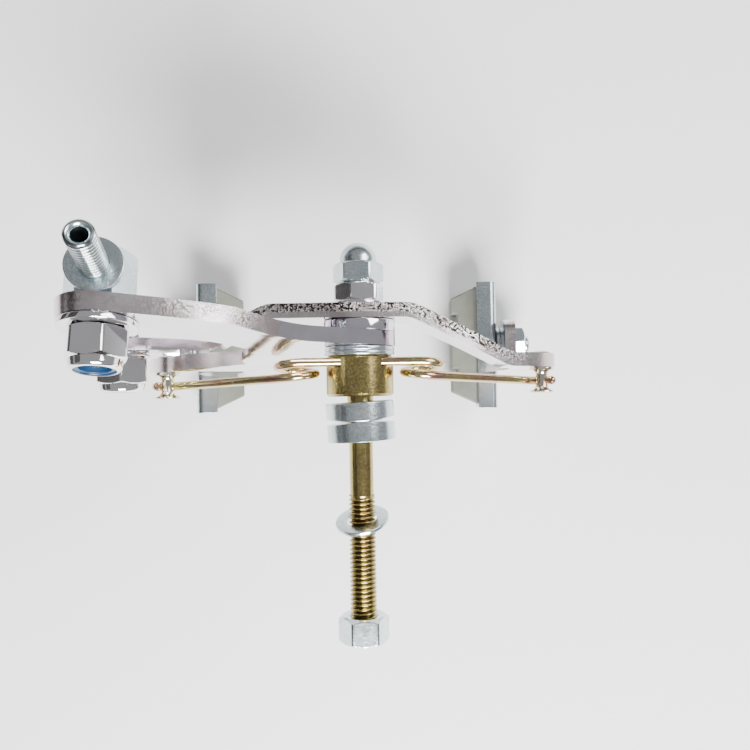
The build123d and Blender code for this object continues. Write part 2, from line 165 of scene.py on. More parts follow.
# Distance to a hexagon's side in each direction, a corner at 0, the corners eased by a small flat.
def hexRadius(angle, flats, corner=0.12):
    fold = angle % (math.pi / 3) - math.pi / 6
    side = flats / 2 / np.cos(fold)
    return np.minimum(side, flats / 2 / math.cos(math.pi / 6) - corner)


# Angle in degrees of the frame node's hexagon corners about the local Z of a placement.
def cornerTurn(node, at):
    mesh = nodes[node].data
    flat = np.empty(len(mesh.vertices) * 3)
    mesh.vertices.foreach_get("co", flat)
    back = np.array(at.inverted())
    local = flat.reshape(-1, 3) @ back[:3, :3].T + back[:3, 3]
    radius = np.hypot(local[:, 0], local[:, 1])
    corners = local[radius > radius.max() - 0.00003]
    angle = np.arctan2(corners[:, 1], corners[:, 0])
    return math.degrees(np.angle(np.exp(6j * angle).sum()) / 6)


# Rows of a hexagon bar: the hexagon cut by a cone at each end, r = min(hexagon, cone).
def hexBody(flats, length, turn, rim=0.94, slope=1.73, steps=9):
    angle = np.linspace(0, 2 * np.pi, 144, endpoint=False)
    side = hexRadius(angle - math.radians(turn), flats)
    rimR = flats / 2 * rim
    high = (flats / 2 / math.cos(math.pi / 6) - rimR) / slope
    climb = np.linspace(0, high, steps)
    z = np.concatenate([climb, length - climb[::-1]])
    cone = rimR + slope * np.minimum(z, length - z)
    r = np.minimum(side[None, :], cone[:, None])
    return np.stack([r * np.cos(angle), r * np.sin(angle), z[:, None] + 0 * angle], axis=-1)


# One row of a grid: x = r cos a, y = r sin a at height z.
def circleRow(r, z, count=144):
    angle = np.linspace(0, 2 * np.pi, count, endpoint=False)
    return np.stack([r * np.cos(angle), r * np.sin(angle), z + 0 * angle], axis=-1)[None]


# A plain nut: hexagon, countersunk faces and a bore, as one closed ring.
def nutGrid(cfg):
    bore, sink, length = cfg["bore"], cfg["sink"], cfg["length"]
    return np.concatenate([hexBody(cfg["flats"], length, cfg["turn"], cfg.get("rim", 0.94)),
                           circleRow(bore + sink, length), circleRow(bore, length - sink),
                           circleRow(bore, sink), circleRow(bore + sink, 0)])


# Radius of a screw thread: a rounded ridge that advances one pitch a turn, fading at its ends.
def threadRadius(angle, along, cfg):
    phase = (along / cfg["pitch"] - angle / (2 * np.pi)) % 1
    ridge = np.abs(2 * phase - 1)
    cut = np.clip((ridge - cfg["crest"]) / (1 - cfg["crest"] - cfg["root"]), 0, 1)
    cut = cut * cut * (3 - 2 * cut)
    ends = np.clip(along / cfg["runIn"], 0, 1) * np.clip((cfg["length"] - along) / cfg["runOut"], 0, 1)
    r = cfg["major"] - cfg["depth"] * (cut * ends + (1 - ends) * cfg.get("fade", 0.5))
    chamfer = cfg["major"] - cfg["tip"] + (cfg["length"] - along)
    return np.minimum(r, np.maximum(chamfer, cfg["major"] - cfg["tip"]))


# Stores how deep each thread point lies below the crest, 0 to 1, raised to the shade power, as the weight
# of the painted shade in the thread grooves; the rest of the piece keeps 0.
def markGrooveShade(piece, rows, cfg):
    depth = np.zeros(len(piece.data.vertices), np.float32)
    radius = np.hypot(rows[..., 0], rows[..., 1]).ravel()
    depth[:radius.size] = np.clip((cfg["major"] - radius) / cfg["depth"], 0, 1) ** cfg.get("shade", 1.5)
    piece.data.attributes.new("grooveShade", "FLOAT", "POINT").data.foreach_set("value", depth)


# Rows of a thread along local Z: the thread's radius in every direction at every height.
def threadRows(cfg, turns=64, perPitch=14):
    angle = np.linspace(0, 2 * np.pi, turns, endpoint=False)[None, :]
    along = np.linspace(0, cfg["length"], int(cfg["length"] / cfg["pitch"] * perPitch))[:, None]
    r = threadRadius(angle, along, cfg)
    return np.stack([r * np.cos(angle), r * np.sin(angle), along + 0 * angle], axis=-1)


# A joined-up copy of a CAD node with its flat faces whole again and its edges eased.
def copyOf(node, name, bevel=0.3, segments=3, keep=None):
    work = bmesh.new()
    work.from_mesh(nodes[node].data)
    bmesh.ops.remove_doubles(work, verts=work.verts, dist=0.000004)
    if keep is not None:
        bmesh.ops.delete(work, geom=[v for v in work.verts if not keep(v.co)], context="VERTS")
        rim = [e for e in work.edges if e.is_boundary]
        bmesh.ops.holes_fill(work, edges=rim, sides=0)
    bmesh.ops.dissolve_limit(work, angle_limit=math.radians(1.5), verts=work.verts, edges=work.edges)
    mesh = bpy.data.meshes.new(name)
    work.to_mesh(mesh)
    work.free()
    piece = finishMesh(name, mesh, None, 30)
    ease = piece.modifiers.new("ease", "BEVEL")
    ease.width = bevel * mm
    ease.segments = segments
    ease.limit_method = "ANGLE"
    ease.angle_limit = math.radians(38)
    ease.harden_normals = True
    return piece


# Gives a piece its material and its moving body, and hides the nodes it stands for; the slot is not used.
def settle(piece, body, material, slot, *replaced):
    piece.data.materials.clear()
    piece.data.materials.append(material)
    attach(piece, body)
    if replaced:
        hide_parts(*replaced)
    return piece


def link(tree, a, b):
    tree.links.new(a, b)


# Puts a number on a socket, or links an output to it.
def feed(tree, value, socket):
    if isinstance(value, (int, float)):
        socket.default_value = value
    else:
        link(tree, value, socket)


def mathNode(tree, operation, first, second=None, clamp=False):
    node = tree.nodes.new("ShaderNodeMath")
    node.operation = operation
    node.use_clamp = clamp
    feed(tree, first, node.inputs[0])
    if second is not None:
        feed(tree, second, node.inputs[1])
    return node.outputs[0]


def noiseNode(tree, where, scale, detail, roughness=0.5):
    node = tree.nodes.new("ShaderNodeTexNoise")
    link(tree, where, node.inputs["Vector"])
    for socket, value in (("Scale", scale), ("Detail", detail), ("Roughness", roughness)):
        feed(tree, value, node.inputs[socket])
    return node.outputs["Fac"]


# Maps a value from one span to another, in a straight line or with soft ends.
def rangeNode(tree, value, start=0.0, end=1.0, low=0.0, high=1.0, soft=False):
    node = tree.nodes.new("ShaderNodeMapRange")
    node.interpolation_type = "SMOOTHSTEP" if soft else "LINEAR"
    for socket, given in (("Value", value), ("From Min", start), ("From Max", end),
                          ("To Min", low), ("To Max", high)):
        feed(tree, given, node.inputs[socket])
    return node.outputs["Result"]


def colourMix(tree, share, first, second):
    node = tree.nodes.new("ShaderNodeMix")
    node.data_type = "RGBA"
    link(tree, share, node.inputs["Factor"])
    link(tree, first, node.inputs["A"])
    link(tree, second, node.inputs["B"])
    return node.outputs["Result"]


def attributeNode(tree, name):
    node = tree.nodes.new("ShaderNodeAttribute")
    node.attribute_name = name
    return node.outputs["Fac"]


# The plating table also sets how far the painted shade in thread grooves goes towards the Dark colour.
plating = {"driftScale": 120, "driftFrom": 0.36, "driftTo": 0.64, "pitScale": 2000, "pitFrom": 0.44,
           "pitTo": 0.54, "patchScale": 95, "patchBlend": 0.14, "reachGain": 4, "bandFrom": 0.3,
           "bandTo": 0.5, "grooveShadeShare": 0.85, "bumpDepth": 0.0001}
# Dark is the colour of the pits and of the painted shade in thread grooves.
platingInputs = {"Base": (0.8, 0.8, 0.8, 1), "Tint": (0.8, 0.8, 0.8, 1), "Dark": (0.3, 0.3, 0.3, 1),
                 "Drift": 0.5, "Smooth": 0.1, "Reach": 1.0, "Patch": 0.3, "Band": 0.0, "Rough": 0.3,
                 "Speckle": 0.0, "Grain": 900.0}


# Shared finish of plated metal on object position: a slow colour drift, a fine grain, small dark pits that
# gather in patches near the middle of the part, and painted shade that darkens the thread grooves towards
# the Dark colour.
def buildPlatingGroup():
    group = bpy.data.node_groups.new("platedFinish", "ShaderNodeTree")
    for name, value in platingInputs.items():
        kind = "NodeSocketFloat" if isinstance(value, float) else "NodeSocketColor"
        group.interface.new_socket(name=name, in_out="INPUT", socket_type=kind).default_value = value
    for name, kind in (("Color", "NodeSocketColor"), ("Roughness", "NodeSocketFloat"),
                       ("Height", "NodeSocketFloat")):
        group.interface.new_socket(name=name, in_out="OUTPUT", socket_type=kind)
    given = group.nodes.new("NodeGroupInput").outputs
    made = group.nodes.new("NodeGroupOutput").inputs
    where = group.nodes.new("ShaderNodeTexCoord").outputs["Object"]
    slow = noiseNode(group, where, plating["driftScale"], 3)
    fine = noiseNode(group, where, given["Grain"], 5, 0.65)
    pits = noiseNode(group, where, plating["pitScale"], 4, 0.6)
    patches = noiseNode(group, where, plating["patchScale"], 4)

    swing = rangeNode(group, slow, plating["driftFrom"], plating["driftTo"])
    colour = colourMix(group, mathNode(group, "MULTIPLY", swing, given["Drift"]),
                       given["Base"], given["Tint"])

    spots = rangeNode(group, pits, plating["pitFrom"], plating["pitTo"])
    patchEnd = mathNode(group, "ADD", given["Patch"], plating["patchBlend"])
    gathered = rangeNode(group, patches, given["Patch"], patchEnd, soft=True)
    apart = group.nodes.new("ShaderNodeSeparateXYZ")
    link(group, where, apart.inputs[0])
    across = mathNode(group, "ABSOLUTE", apart.outputs["X"])
    near = rangeNode(group, across, given["Reach"], 0.0, soft=True)
    central = mathNode(group, "MULTIPLY", near, plating["reachGain"], clamp=True)
    patched = mathNode(group, "MULTIPLY", gathered, central)
    behind = rangeNode(group, attributeNode(group, "frontness"), plating["bandFrom"], plating["bandTo"],
                       1.0, 0.0, soft=True)
    clean = mathNode(group, "MULTIPLY", behind, given["Band"])
    placed = mathNode(group, "MULTIPLY", patched, mathNode(group, "SUBTRACT", 1, clean))
    speckled = mathNode(group, "MULTIPLY", placed, given["Speckle"])
    amount = mathNode(group, "MULTIPLY", spots, speckled)
    spotted = colourMix(group, amount, colour, given["Dark"])

    # Painted shade: thread grooves are mixed towards the Dark colour by their depth.
    paintedGrooveShade = mathNode(group, "MULTIPLY", attributeNode(group, "grooveShade"), plating["grooveShadeShare"])
    link(group, colourMix(group, paintedGrooveShade, spotted, given["Dark"]), made["Color"])
    link(group, rangeNode(group, fine, low=given["Smooth"], high=given["Rough"]), made["Roughness"])
    link(group, mathNode(group, "ADD", fine, amount), made["Height"])
    return group


platedFinish = buildPlatingGroup()


# A light bump from a height between 0 and 1.
def bumpNode(tree, height, strength):
    node = tree.nodes.new("ShaderNodeBump")
    node.inputs["Strength"].default_value = strength
    node.inputs["Distance"].default_value = plating["bumpDepth"]
    link(tree, height, node.inputs["Height"])
    return node.outputs["Normal"]


# A plated metal: the shared finish drives colour, roughness and the bump.
def metal(name, cfg):
    material = bpy.data.materials.new(name)
    material.use_nodes = True
    tree = material.node_tree
    shader = tree.nodes["Principled BSDF"]
    shader.inputs["Metallic"].default_value = 1.0
    finish = tree.nodes.new("ShaderNodeGroup")
    finish.node_tree = platedFinish
    for key, usual in platingInputs.items():
        value = cfg.get(key.lower(), usual)
        finish.inputs[key].default_value = (*value[:3], 1) if isinstance(value, tuple) else value
    link(tree, finish.outputs["Color"], shader.inputs["Base Color"])
    link(tree, finish.outputs["Roughness"], shader.inputs["Roughness"])
    link(tree, bumpNode(tree, finish.outputs["Height"], cfg["bump"]), shader.inputs["Normal"])
    return material


finishes = {
    "chrome": dict(base=(0.88, 0.85, 0.90), tint=(0.76, 0.72, 0.79), dark=(0.30, 0.25, 0.25), drift=0.8,
                   smooth=0.05, rough=0.13, speckle=0.0, grain=500.0, bump=0.03),
    "frontEdge": dict(base=(0.80, 0.75, 0.75), tint=(0.55, 0.46, 0.45), dark=(0.03, 0.022, 0.022),
                      drift=1.0, smooth=0.12, rough=0.36, speckle=1.0, grain=1500.0, bump=0.5,
                      reach=0.045, patch=0.28, band=1.0),
    "rearEdge": dict(base=(0.82, 0.76, 0.77), tint=(0.62, 0.53, 0.53), dark=(0.05, 0.04, 0.04), drift=1.0,
                     smooth=0.10, rough=0.28, speckle=0.55, grain=1500.0, bump=0.2, reach=0.2, patch=0.56),
    "polished": dict(base=(0.90, 0.89, 0.90), tint=(0.78, 0.76, 0.77), dark=(0.2, 0.2, 0.2), drift=0.5,
                     smooth=0.03, rough=0.10, speckle=0.0, grain=400.0, bump=0.02),
    "zinc": dict(base=(0.72, 0.79, 0.81), tint=(0.56, 0.65, 0.68), dark=(0.30, 0.33, 0.34), drift=0.8,
                 smooth=0.14, rough=0.32, speckle=0.3, grain=900.0, bump=0.15),
    # zincThread's dark colour is only painted shade in the barrel's thread grooves.
    "zincThread": dict(base=(0.74, 0.80, 0.82), tint=(0.60, 0.68, 0.70), dark=(0.045, 0.05, 0.055),
                       drift=0.8, smooth=0.12, rough=0.28, speckle=0.0, grain=900.0, bump=0.1),
    # yellowZinc's dark colour is used for its pits and for painted shade in the centre bolt's thread
    # grooves.
    "yellowZinc": dict(base=(0.50, 0.43, 0.16), tint=(0.40, 0.30, 0.13), dark=(0.09, 0.06, 0.015),
                       drift=1.0, smooth=0.12, rough=0.30, speckle=0.3, grain=700.0, bump=0.12),
    "springWire": dict(base=(0.64, 0.59, 0.29), tint=(0.56, 0.34, 0.25), dark=(0.2, 0.12, 0.04), drift=1.0,
                       smooth=0.10, rough=0.24, speckle=0.2, grain=600.0, bump=0.08),
    "nickel": dict(base=(0.80, 0.76, 0.66), tint=(0.66, 0.61, 0.50), dark=(0.3, 0.28, 0.22), drift=0.6,
                   smooth=0.06, rough=0.18, speckle=0.0, grain=600.0, bump=0.05),
}
metals = {name: metal(name, cfg) for name, cfg in finishes.items()}


# Moulded rubber or nylon: mottled colour and a fine grain.
def softMaterial(name, cfg):
    material = bpy.data.materials.new(name)
    material.use_nodes = True
    tree = material.node_tree
    shader = tree.nodes["Principled BSDF"]
    where = tree.nodes.new("ShaderNodeTexCoord").outputs["Object"]
    mottle = noiseNode(tree, where, cfg["mottleScale"], 2)
    grain = noiseNode(tree, where, cfg["grainScale"], 6)
    ramp = tree.nodes.new("ShaderNodeValToRGB")
    ramp.color_ramp.elements[0].color = (*cfg["dark"], 1)
    ramp.color_ramp.elements[1].color = (*cfg["light"], 1)
    link(tree, mottle, ramp.inputs["Fac"])
    link(tree, ramp.outputs["Color"], shader.inputs["Base Color"])
    smoothest, roughest = cfg["roughness"]
    link(tree, rangeNode(tree, grain, low=smoothest, high=roughest), shader.inputs["Roughness"])
    link(tree, bumpNode(tree, grain, cfg["bump"]), shader.inputs["Normal"])
    return material


softFinishes = {
    "padRubber": dict(dark=(0.105, 0.11, 0.088), light=(0.20, 0.205, 0.168), mottleScale=220,
                      grainScale=2600, roughness=(0.55, 0.8), bump=0.35),
    "blueNylon": dict(dark=(0.003, 0.018, 0.055), light=(0.008, 0.055, 0.14), mottleScale=500,
                      grainScale=1800, roughness=(0.22, 0.4), bump=0.1),
}
rubber, blueNylon = (softMaterial(name, cfg) for name, cfg in softFinishes.items())
print("materials made")


arms = {"bevel": 0.4, "segments": 3, "flatShare": 0.9, "wideFace": 50e-6, "frontShare": 0.75}


# The arm's plate with eased edges; its stamped rim gets the rougher finish.
def pressedArm(node, body, edge):
    piece = copyOf(node, node + "Plate", arms["bevel"], arms["segments"])
    settle(piece, body, metals["chrome"], "chrome_steel", node)
    piece.data.materials.append(metals[edge])
    count = len(piece.data.polygons)
    normal, area = np.empty(count * 3), np.empty(count)
    piece.data.polygons.foreach_get("normal", normal)
    piece.data.polygons.foreach_get("area", area)
    stamped = (np.abs(normal.reshape(-1, 3)[:, 1]) < arms["flatShare"]) & (area < arms["wideFace"])
    piece.data.polygons.foreach_set("material_index", stamped.astype(np.int32))
    loops, sizes = np.empty(len(piece.data.loops), np.int32), np.empty(count, np.int32)
    piece.data.loops.foreach_get("vertex_index", loops)
    piece.data.polygons.foreach_get("loop_total", sizes)
    facing = np.repeat(normal.reshape(-1, 3)[:, 1] > arms["frontShare"], sizes)
    frontness = np.zeros(len(piece.data.vertices), np.float32)
    frontness[loops[facing]] = 1
    piece.data.attributes.new("frontness", "FLOAT", "POINT").data.foreach_set("value", frontness)


pressedArm("c_arm", "c_arm", "frontEdge")
pressedArm("y_arm", "y_arm", "rearEdge")
print("arms made")


bolt = {"collarEase": 0.25, "threadStart": -22.0,
        "rearThread": dict(major=2.97, depth=0.52, pitch=1.0, crest=0.16, root=0.12, runIn=0.8,
                           runOut=0.6, tip=0.5, fade=0.35)}


# Collar, neck and shank from the turned blank, and a true helical thread behind them.
def centreBolt():
    low, _ = boxOf("pivot_bolt")
    threadStart = bolt["threadStart"] * mm
    turned = copyOf("pivot_bolt", "centreBoltBody", bolt["collarEase"], 3,
                    keep=lambda co: co.y > threadStart - 0.00001)
    settle(turned, "root", metals["yellowZinc"], "yellow_zinc", "pivot_bolt")
    thread = dict(bolt["rearThread"], length=(threadStart - low[1]) / mm)
    rows = threadRows(thread)
    screw = meshPiece("centreBoltThread", [(rows, False)], place((0, threadStart, 0), (0, -1, 0)), 60)
    # Weights for the painted shade in the bolt thread's grooves.
    markGrooveShade(screw, rows, thread)
    settle(screw, "root", metals["yellowZinc"], "yellow_zinc")


centreBolt()

nuts = {
    "jam_nut": dict(flats=10.0, bore=2.95, sink=0.4, metal="polished", slot="polished_nut", rim=0.93),
    "mounting_nut": dict(flats=10.0, bore=2.99, sink=0.5, metal="zinc", slot="zinc", rim=0.9),
}


def nutOnBolt(node, body, cfg):
    low, high = boxOf(node)
    at = onBolt(low[1])
    cfg = dict(cfg, length=(high[1] - low[1]) / mm, turn=cornerTurn(node, at))
    piece = meshPiece(node + "Hex", [(nutGrid(cfg), True)], at, 24)
    settle(piece, body, metals[cfg["metal"]], cfg["slot"], node)


nutOnBolt("jam_nut", "root", nuts["jam_nut"])
nutOnBolt("mounting_nut", "mounting_nut", nuts["mounting_nut"])

acorn = {"flats": 10.0, "hexLength": 4.6, "domeR": 4.1, "bore": 2.95, "boreDepth": 6.8, "fillet": 0.35}


# Hexagon, short neck and a dome: z = top - r + r sin a, with the blind bore closed inside.
def acornNut():
    low, high = boxOf("acorn_nut")
    length = (high[1] - low[1]) / mm
    r = acorn["domeR"]
    angle = np.linspace(0, math.pi / 2, 22)[:-1]
    dome = [(r * math.cos(a), length - r + r * math.sin(a)) for a in angle]
    foot = [(r + acorn["fillet"], acorn["hexLength"] + 0.02), (r + 0.08, acorn["hexLength"] + 0.12)]
    rows = [circleRow(acorn["bore"], acorn["boreDepth"]), circleRow(acorn["bore"], 0.0),
            hexBody(acorn["flats"], acorn["hexLength"], cornerTurn("acorn_nut", onBolt(low[1])), 0.93)]
    rows += [circleRow(a, z) for a, z in foot + dome] + [circleRow(0.03, length)]
    piece = meshPiece("acornNutDome", [(np.concatenate(rows), False)], onBolt(low[1]), 26)
    settle(piece, "root", metals["zinc"], "zinc", "acorn_nut")


acornNut()

stack = {
    "front_washer": dict(inner=3.05, outer=6.2, soft=0.2, metal="polished", slot="zinc"),
    "rear_washer_a": dict(inner=3.05, outer=7.8, soft=0.28, metal="zinc", slot="zinc"),
    "rear_washer_b": dict(inner=3.05, outer=7.8, soft=0.28, metal="zinc", slot="zinc"),
    "arm_spacer": dict(inner=3.05, outer=8.0, soft=0.3, metal="chrome", slot="zinc"),
}
for node, cfg in stack.items():
    low, high = boxOf(node)
    ring = washer(node + "Ring", cfg["inner"], cfg["outer"], (high[1] - low[1]) / mm, onBolt(low[1]),
                  cfg["soft"])
    settle(ring, "root", metals[cfg["metal"]], cfg["slot"], node)

for node in ("seating_washer_front", "seating_washer_rear"):
    cup = copyOf(node, node + "Cup", 0.35, 3)
    settle(cup, "seating_washers", metals["zinc"], "zinc", node)

flatWasher = {"inner": 3.4, "outer": 6.0, "thick": 0.9, "pitch": 20, "yaw": 10, "soft": 0.2}


def looseWasher():
    low, high = boxOf("mounting_washer")
    middle = (low[1] + high[1]) / 2
    tilt = Matrix.Rotation(math.radians(flatWasher["pitch"]), 4, "X")
    yaw = Matrix.Rotation(math.radians(flatWasher["yaw"]), 4, "Z")
    lay = Matrix.Rotation(math.radians(-90), 4, "X")
    at = Matrix.Translation((0, middle, 0)) @ tilt @ yaw @ lay @ Matrix.Translation(
        (0, 0, -flatWasher["thick"] / 2 * mm))
    ring = washer("looseWasherRing", flatWasher["inner"], flatWasher["outer"], flatWasher["thick"], at,
                  flatWasher["soft"])
    settle(ring, "loose_washer", metals["zinc"], "zinc", "mounting_washer")


looseWasher()
print("bolt stack made")


spring = {"wire": 1.0, "coilR": 4.2, "coilX": 14.0, "topZ": 4.9, "startY": 7.5, "pitch": 3.0, "hookY": 3.0,
          "hookR": 2.45, "hookSweep": 150, "tail": 1.2, "postX": 44.0, "postZ": -8.0}


# Right half of the wire: a straight, one helical turn, a leg and a hook, as an array of points.
def springPath():
    cx, cz = spring["coilX"], spring["topZ"] - spring["coilR"]
    dx, dz = spring["postX"] - cx, spring["postZ"] - cz
    leg = math.atan2(dz, dx) - math.asin((spring["coilR"] + spring["hookR"]) / math.hypot(dx, dz))
    turned = 2 * math.pi - leg
    a = np.linspace(0, turned, 120)
    coil = np.stack([cx + spring["coilR"] * np.sin(a),
                     spring["startY"] - spring["pitch"] * a / (2 * math.pi),
                     cz + spring["coilR"] * np.cos(a)], axis=-1)
    h = leg - math.pi / 2 + np.linspace(0, math.radians(spring["hookSweep"]), 40)
    hook = np.stack([spring["postX"] + spring["hookR"] * np.cos(h), spring["hookY"] + 0 * h,
                     spring["postZ"] + spring["hookR"] * np.sin(h)], axis=-1)
    straight = np.stack([np.linspace(0, cx, 30), np.full(30, spring["startY"]),
                         np.full(30, spring["topZ"])], axis=-1)
    t = np.linspace(0, 1, 60)[:, None]
    reach = coil[-1] * (1 - t) + hook[0] * t
    last = hook[-1]
    way = np.array([-math.sin(h[-1]), 0, math.cos(h[-1])])
    tail = last + way * np.linspace(0, spring["tail"], 6)[:, None]
    points = np.concatenate([straight[:-1], coil, reach[1:-1], hook, tail[1:]])
    padded = np.pad(points, ((4, 4), (0, 0)), mode="edge")
    window = np.stack([np.convolve(padded[:, k], np.ones(9) / 9, "valid") for k in range(3)], axis=-1)
    window[:5], window[-5:] = points[:5], points[-5:]
    return window


# Rings of a round wire: each ring is square to the path, turned from the Y direction.
def wireTube(points, radius, sides=28):
    along = np.gradient(points, axis=0)
    along /= np.linalg.norm(along, axis=1)[:, None]
    across = np.array([0.0, 1.0, 0.0]) - along * along[:, 1:2]
    across /= np.linalg.norm(across, axis=1)[:, None]
    third = np.cross(along, across)
    angle = np.linspace(0, 2 * np.pi, sides, endpoint=False)[None, :, None]
    ends = np.ones(len(points))
    ends[-1], ends[-2], ends[-3] = 0.55, 0.85, 0.97
    r = (radius * ends)[:, None, None]
    return points[:, None] + r * (across[:, None] * np.cos(angle) + third[:, None] * np.sin(angle))


def returnSpring():
    right = springPath()
    for side, arm, name in ((1, "c_arm", "Right"), (-1, "y_arm", "Left")):
        half = right * np.array([side, 1, 1])
        tube = meshPiece("springWire" + name, [(wireTube(half, spring["wire"]), False)])
        tube.data.materials.append(metals["springWire"])
        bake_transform(tube)
        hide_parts("return_spring")


returnSpring()

posts = {"shaft": 1.4, "flange": 2.8, "edge": 0.8, "length": 6.2, "headR": 2.3, "headT": 0.8, "plate": 3.2}


# A lathe-turned spool: flange, waisted shaft, flange, and a domed rivet head in front of the arm.
def springPost(side, body):
    name = "left" if side < 0 else "right"
    low, high = boxOf("spring_post_" + name)
    centre = (low + high) / 2
    s, f, e, n = posts["shaft"], posts["flange"], posts["edge"], posts["length"]
    profile = [(0.02, 0.0), (f - 1.0, 0.0), (f - 0.25, 0.08), (f, 0.3), (f - 0.08, e * 0.75),
               (s + 0.5, e + 0.15), (s + 0.12, e + 0.5), (s, e + 1.1), (s, n - e - 1.1),
               (s + 0.12, n - e - 0.5), (s + 0.5, n - e - 0.15), (f - 0.1, n - e + 0.1), (f, n - 0.4),
               (f - 0.1, n), (1.5, n), (1.5, n + posts["plate"])]
    dome = np.linspace(0, math.pi / 2, 8)
    headR, headT, headZ = posts["headR"], posts["headT"], n + posts["plate"]
    profile += [(headR * math.cos(a) + 0.02, headZ + headT * math.sin(a)) for a in dome]
    piece = meshPiece("springPost" + name.title(), [(lathe(profile, 64), False)],
                      place((centre[0], low[1], centre[2]), (0, 1, 0)), 40)
    settle(piece, body, metals["nickel"], "nickel", "spring_post_" + name)


springPost(-1, "y_arm")
springPost(1, "c_arm")
print("spring made")


eyeAt = Vector(joints["adjuster_swivel"]["pos_m"])
eyeForwards = Vector(joints["adjuster_swivel"]["axis"])
cableUp = Vector(joints["barrel_screw"]["axis"])
adjuster = {
    "plate": 3.2, "slip": 0.05, "washerBore": 2.95, "washerR": 7.0, "washerT": 1.2, "offset": 6.9,
    "blockHalf": 5.5,
    "ringR": 5.1, "ringT": 1.2, "ringBore": 2.55,
    # shade is the power on groove depth for the painted groove shade; a low value darkens the barrel's
    # grooves just below the crest.
    "barrel": dict(major=2.56, depth=0.46, pitch=1.0, shade=0.45, crest=0.36, root=0.12, runIn=0.5,
                   runOut=0.5, tip=0.45, fade=0.4, bore=1.35, sink=0.6, above=12.0, below=1.0),
    "lockNut": dict(flats=10.0, hexLength=5.9, length=7.6, collarR=4.6, lip=3.75, bore=2.95),
}


# Nylon-insert nut: hexagon with a round shoulder that is rolled in over the ring.
def lockNutGrid(cfg):
    length, top = cfg["length"], cfg["hexLength"]
    soft = 0.9
    corner = (cfg["collarR"] - soft, length - soft)
    shoulder = [(cfg["collarR"] + 0.15, top + 0.03)]
    shoulder += [(corner[0] + soft * math.cos(a), corner[1] + soft * math.sin(a))
                 for a in np.linspace(0, math.pi / 2, 9)]
    shoulder += [(cfg["lip"], length - 0.05), (cfg["lip"], length - 1.6), (cfg["bore"], length - 1.6),
                 (cfg["bore"], 0.4), (cfg["bore"] + 0.4, 0.0)]
    rows = [hexBody(cfg["flats"], top, cfg["turn"], 0.93)]
    return np.concatenate(rows + [circleRow(r, z) for r, z in shoulder])


# The ring that the lock nut's shoulder holds, a hair inside its bore.
def nylonRing(name, at):
    cfg = adjuster["lockNut"]
    length = cfg["length"]
    profile = roundRing(cfg["bore"] - 0.15, cfg["lip"] - 0.02, length - 1.58, length - 0.35, 0.3)
    return meshPiece(name, [(lathe(profile), True)], at)


# The lock nut and its nylon ring; local Z points out of the nut's open end.
def lockNut(names, nodes, body, at):
    cfg = dict(adjuster["lockNut"], turn=cornerTurn(nodes[0], at))
    nut = meshPiece(names[0], [(lockNutGrid(cfg), True)], at, 26)
    settle(nut, body, metals["polished"], "polished_nut", nodes[0])
    settle(nylonRing(names[1], at), body, blueNylon, "blue_nylon", nodes[1])


def adjusterGroup():
    body = "adjuster_holder"
    rear = -(adjuster["plate"] / 2 + adjuster["slip"] + adjuster["washerT"])
    behind = place(eyeAt + eyeForwards * rear * mm, -eyeForwards)
    atWasher = place(eyeAt + eyeForwards * rear * mm, eyeForwards)
    ring = washer("studWasherRing", adjuster["washerBore"], adjuster["washerR"], adjuster["washerT"],
                  atWasher, 0.25)
    settle(ring, body, metals["polished"], "zinc", "stud_washer")
    lockNut(("studLockNutBody", "studNylonRing"), ("stud_lock_nut", "stud_nylon_ring"), body, behind)
    block = copyOf("adjuster_stud", "adjusterStudBlock")
    settle(block, body, metals["zinc"], "zinc", "adjuster_stud")
    middle = eyeAt + eyeForwards * adjuster["offset"] * mm
    top = adjuster["blockHalf"] + adjuster["slip"]
    plate = washer("adjusterLockPlate", adjuster["ringBore"], adjuster["ringR"], adjuster["ringT"],
                   place(middle + cableUp * top * mm, cableUp), 0.22)
    settle(plate, "adjuster_ring", metals["zinc"], "zinc", "adjuster_lock_ring")
    cfg = dict(adjuster["barrel"])
    low = -adjuster["blockHalf"] - cfg["below"]
    cfg["length"] = top + adjuster["ringT"] + cfg["above"] - low
    end = cfg["length"]
    mouth = cfg["bore"] + cfg["sink"]
    screw = threadRows(cfg)
    rows = [screw, circleRow(mouth, end, 64), circleRow(cfg["bore"] + 0.1, end - cfg["sink"] * 0.9, 64),
            circleRow(cfg["bore"], end - cfg["sink"] - 0.3, 64), circleRow(cfg["bore"], 0, 64)]
    foot = place(middle + cableUp * low * mm, cableUp)
    tube = meshPiece("barrelAdjusterTube", [(np.concatenate(rows), True)], foot, 50)
    # Weights for the painted shade in the barrel thread's grooves.
    markGrooveShade(tube, screw, cfg)
    settle(tube, "adjuster_barrel", metals["zincThread"], "zinc", "barrel_adjuster")


adjusterGroup()


anchor = {"washerR": 5.75, "washerBore": 2.95, "washerEase": 0.2}


def anchorGroup():
    body = "cable_anchor"
    low, high = boxOf("anchor_washer")
    x, z = (low[0] + high[0]) / 2, (low[2] + high[2]) / 2
    ring = washer("anchorWasherRing", anchor["washerBore"], anchor["washerR"], (high[1] - low[1]) / mm,
                  place((x, low[1], z), (0, 1, 0)), anchor["washerEase"])
    settle(ring, body, metals["polished"], "zinc", "anchor_washer")
    behind = place((x, low[1], z), (0, -1, 0))
    lockNut(("anchorNutBody", "anchorNylonRing"), ("anchor_nut", "anchor_nylon_ring"), body, behind)
    settle(copyOf("anchor_bolt", "anchorBoltBody"), body, metals["zinc"], "zinc", "anchor_bolt")


anchorGroup()
print("adjuster and anchor made")


shoes = {"plate": 3.2, "slip": 0.05, "washerBore": 2.95, "washerR": 6.0, "washerT": 1.1,
         "nut": dict(flats=10.0, bore=2.95, sink=0.4, length=4.5, rim=0.93)}


